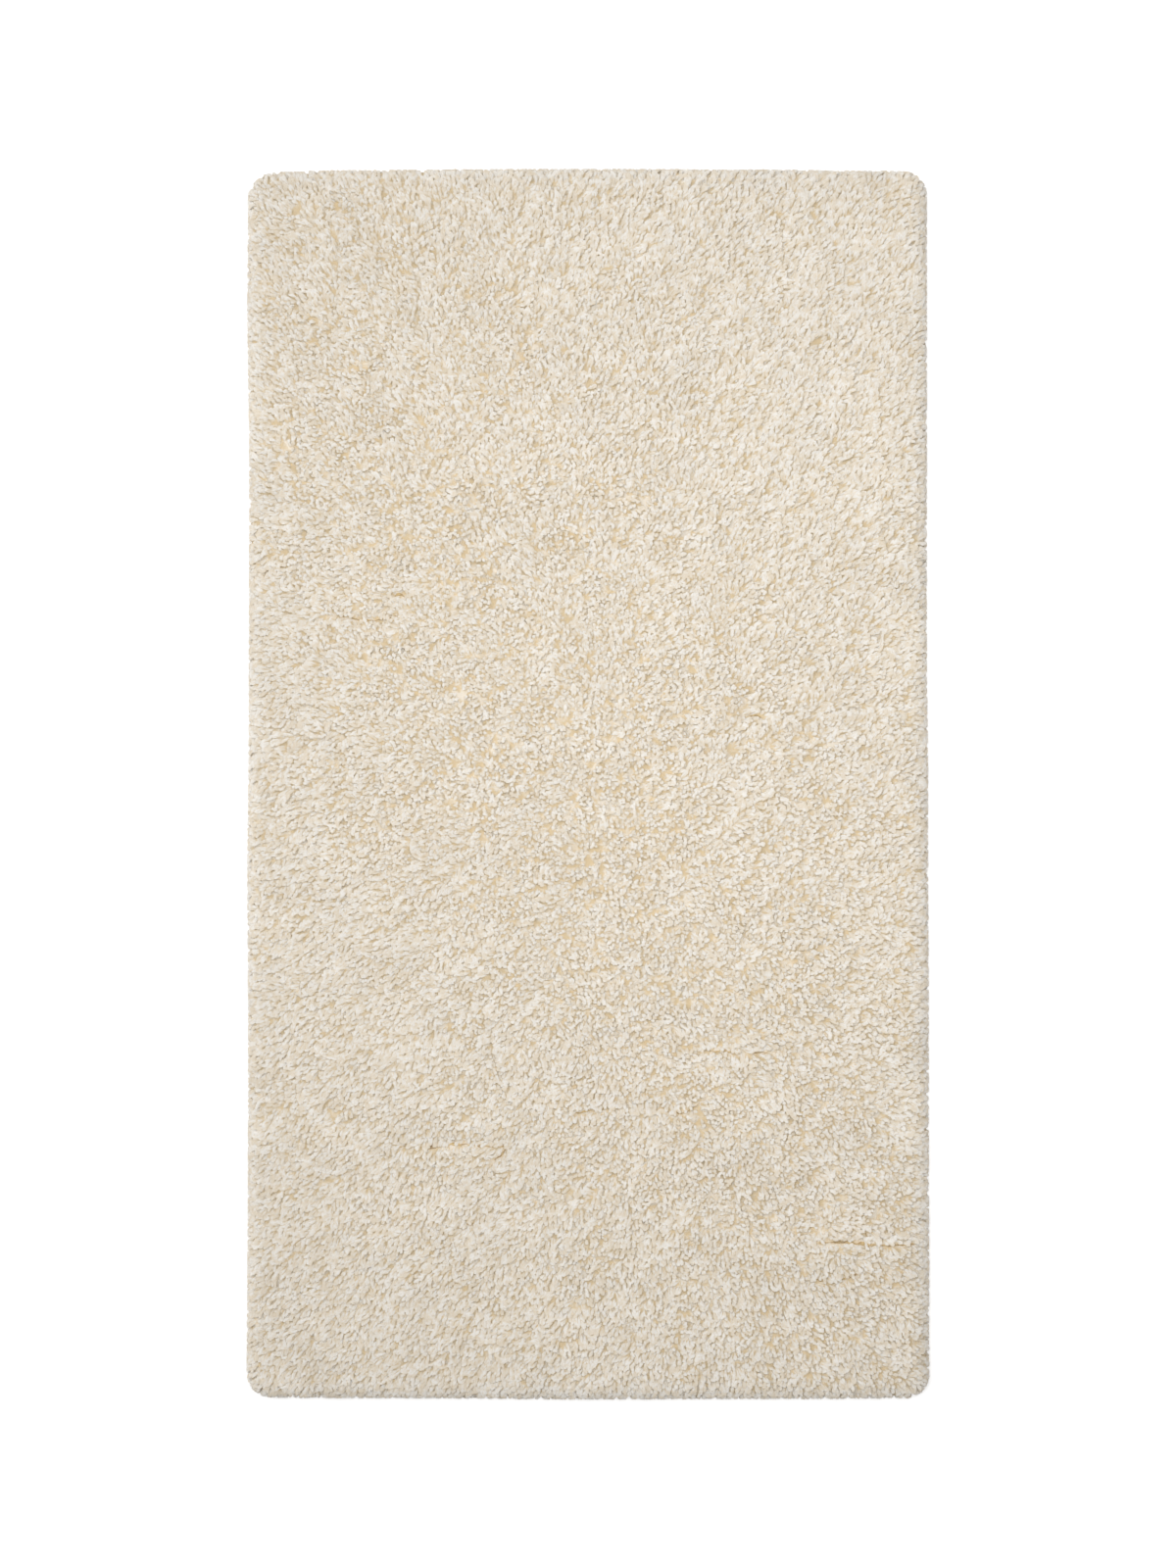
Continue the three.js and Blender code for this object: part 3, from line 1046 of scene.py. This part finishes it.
def make_yarn_ends(bed, pile, bands=5):
    """Grows the yarn ends in bands along the rug, so that no piece is too heavy."""
    tree = yarn_tree()
    wool = yarn_material(pile)
    shape = object_from(rug_solid(), "rug_shape", wool, smooth=True)
    lines = parting_lines()
    ends = np.linspace(-RUG_HALF_LENGTH, RUG_HALF_LENGTH, bands + 1)
    ends[0] -= pile.edge_band
    ends[-1] += pile.edge_band
    pieces = []
    for band in range(bands):
        name = f"pile_band_{band + 1}"
        mesh = grown_mesh(bed, tree, {
            "Shape": shape,
            "Partings": lines,
            "Wool": wool,
            "Half Size": (RUG_HALF_WIDTH, RUG_HALF_LENGTH, 1.0),
            "Near End": float(ends[band]),
            "Far End": float(ends[band + 1]),
            "Spacing": pile.yarn_spacing,
            "Yarn Length": pile.yarn_length,
            "Yarn Thickness": pile.yarn_thickness,
            "Tip Lean": pile.yarn_lean_limit,
            "Edge Band": pile.edge_band,
            "Seed": pile.seed,
        }, name)
        lay_out_map(mesh)
        soften(mesh, pile)
        pieces.append(placed(name, mesh))
    measure_rise([piece.data for piece in pieces], pile)
    for piece in pieces:
        for name in MAKING:
            if name in piece.data.attributes:
                piece.data.attributes.remove(piece.data.attributes[name])
    bpy.data.objects.remove(lines)
    bpy.data.objects.remove(shape)
    return pieces


# Stage --------------------------------------------------------------

SENSOR_WIDTH = 36.0
WHITE = rgba((1.0, 1.0, 1.0))
RUG_MIDDLE = (0, 0, 0)

# Where the two lights stand, how broad they are, and where the overhead lamp points: a little past the
# rug's middle and to the right.
WINDOW_PLACE = (-2.4, 1.3, 1.5)
WINDOW_SPREAD = math.radians(75)
OVERHEAD_PLACE = (0.12, 0.24, 2.7)
OVERHEAD_AIM = (0.12, 0.24, 0)
OVERHEAD_SIZE = 1.6

# How far past the rug's ends the floor's glow begins to grow, and where it has reached its full strength.
GLOW_GROWS, GLOW_IS_FULL = 0.3, 1.8


def picture_share(pen):
    """1 for a ray that shows its surface in the picture, straight or by gloss or glass, and 0 for light."""
    path = pen.node("ShaderNodeLightPath").outputs
    share = pen.math("MAXIMUM", path["Is Camera Ray"], path["Is Glossy Ray"])
    return pen.math("MAXIMUM", share, path["Is Transmission Ray"])


def make_camera(stage):
    camera_data = bpy.data.cameras.new("camera")
    camera_data.sensor_width = SENSOR_WIDTH
    camera_data.lens = SENSOR_WIDTH * stage.camera_height / stage.view_length
    camera = placed("camera", camera_data)
    camera.location = (0, 0, stage.camera_height)
    bpy.context.scene.camera = camera


def hang_lamp(lamp_data, place, aim):
    lamp = placed(lamp_data.name, lamp_data)
    lamp.location = place
    lamp.rotation_euler = (Vector(aim) - Vector(place)).to_track_quat("-Z", "Y").to_euler()
    lamp.visible_camera = False


def make_lamps(stage):
    """A broad soft light from the left and the far side, and a soft lamp overhead."""
    window = bpy.data.lights.new("window_light", "SUN")
    window.angle = WINDOW_SPREAD
    window.energy = stage.window_strength
    hang_lamp(window, WINDOW_PLACE, RUG_MIDDLE)
    overhead = bpy.data.lights.new("overhead_lamp", "AREA")
    overhead.size = OVERHEAD_SIZE
    overhead.energy = stage.overhead_power
    hang_lamp(overhead, OVERHEAD_PLACE, OVERHEAD_AIM)


def make_world(stage):
    """An even warm light from all round, which is plain white in the picture."""
    world = bpy.data.worlds.new("soft_room")
    world.use_nodes = True
    bpy.context.scene.world = world
    pen = Pen(world.node_tree)
    background = world.node_tree.nodes["Background"]
    in_picture = picture_share(pen)
    pen.feed(background.inputs["Color"], pen.tint(in_picture, rgba(stage.sky_colour), WHITE))
    pen.feed(background.inputs["Strength"], pen.blend(in_picture, stage.sky_strength, 1.0))


def make_floor(stage):
    """A white floor that glows in the picture, and more so far from the rug, so that it has no far edge."""
    half = stage.floor_size / 2
    corners = [(-half, -half, 0), (half, -half, 0), (half, half, 0), (-half, half, 0)]
    mesh = bpy.data.meshes.new("floor")
    mesh.from_pydata(corners, [], [(0, 1, 2, 3)])
    material, pen, shader = new_material("pale_floor", roughness=0.9, sheen=0.0)
    shader.inputs["Base Color"].default_value = rgba((0.8, 0.8, 0.8))
    shader.inputs["Emission Color"].default_value = WHITE
    distance = pen.length(pen.object_place())
    grows, is_full = RUG_HALF_LENGTH + GLOW_GROWS, RUG_HALF_LENGTH + GLOW_IS_FULL
    glow = pen.ramp(distance, grows, is_full, stage.floor_glow, 1.0)
    pen.feed(shader.inputs["Emission Strength"], pen.times(picture_share(pen), glow))
    mesh.materials.append(material)
    floor = placed("floor", mesh)


# Operators ----------------------------------------------------------


class RUG_OT_make_stage(bpy.types.Operator):
    """Set up the camera over the rug, the soft light and the white floor"""

    bl_idname = "rug.make_stage"
    bl_label = "Make Stage"

    def execute(self, context):
        stage = context.scene.rug_stage
        context.scene.view_settings.view_transform = "Standard"
        make_camera(stage)
        make_world(stage)
        make_lamps(stage)
        make_floor(stage)
        return {"FINISHED"}


class RUG_OT_make_ground(bpy.types.Operator):
    """Make the thin woven ground that lies on the floor"""

    bl_idname = "rug.make_ground"
    bl_label = "Make Ground"

    def execute(self, context):
        finish_piece(make_ground(context.scene.rug_ground))
        return {"FINISHED"}


class RUG_OT_make_packed_pile(bpy.types.Operator):
    """Make the bed of packed pile that stands in the ground, and the strips of painted shadow in its
    partings
    """

    bl_idname = "rug.make_packed_pile"
    bl_label = "Make Packed Pile"

    def execute(self, context):
        bed = make_bed(context.scene.rug_pile, context.scene.rug_ground)
        finish_piece(bed)
        finish_piece(make_parting_shade_pile(bed, context.scene.rug_pile))
        return {"FINISHED"}


class RUG_OT_make_yarn_ends(bpy.types.Operator):
    bl_idname = "rug.make_yarn_ends"
    bl_label = "Make Yarn Ends"

    def execute(self, context):
        bed, parted = (bpy.data.objects[name] for name in ("packed_pile", "parted_pile"))
        bands = make_yarn_ends(bed, context.scene.rug_pile)
        for band in bands:
            finish_piece(band)
        return {"FINISHED"}


class RUG_PT_panel(bpy.types.Panel):
    """The rug's sizes and colours, and a button for each of its layers"""

    bl_idname = "RUG_PT_panel"
    bl_label = "Deep-Pile Wool Rug"
    bl_space_type = "VIEW_3D"
    bl_region_type = "UI"
    bl_category = "Rug"

    def draw(self, context):
        for settings, operators in (
            (context.scene.rug_stage, ("rug.make_stage",)),
            (context.scene.rug_ground, ("rug.make_ground",)),
            (context.scene.rug_pile, ("rug.make_packed_pile", "rug.make_yarn_ends")),
        ):
            box = self.layout.box()
            for name in type(settings).__annotations__:
                box.prop(settings, name)
            for operator in operators:
                box.operator(operator)


CLASSES = (
    RugGroundSettings,
    RugPileSettings,
    RugStageSettings,
    RUG_OT_make_stage,
    RUG_OT_make_ground,
    RUG_OT_make_packed_pile,
    RUG_OT_make_yarn_ends,
    RUG_PT_panel,
)


def register():
    for kind in CLASSES:
        bpy.utils.register_class(kind)
    bpy.types.Scene.rug_ground = bpy.props.PointerProperty(type=RugGroundSettings)
    bpy.types.Scene.rug_pile = bpy.props.PointerProperty(type=RugPileSettings)
    bpy.types.Scene.rug_stage = bpy.props.PointerProperty(type=RugStageSettings)


def unregister():
    del bpy.types.Scene.rug_ground
    del bpy.types.Scene.rug_pile
    del bpy.types.Scene.rug_stage
    for kind in reversed(CLASSES):
        bpy.utils.unregister_class(kind)


def main():
    register()
    bpy.ops.rug.make_stage()
    bpy.ops.rug.make_ground()
    bpy.ops.rug.make_packed_pile()
    bpy.ops.rug.make_yarn_ends()


if __name__ == "__main__":
    main()
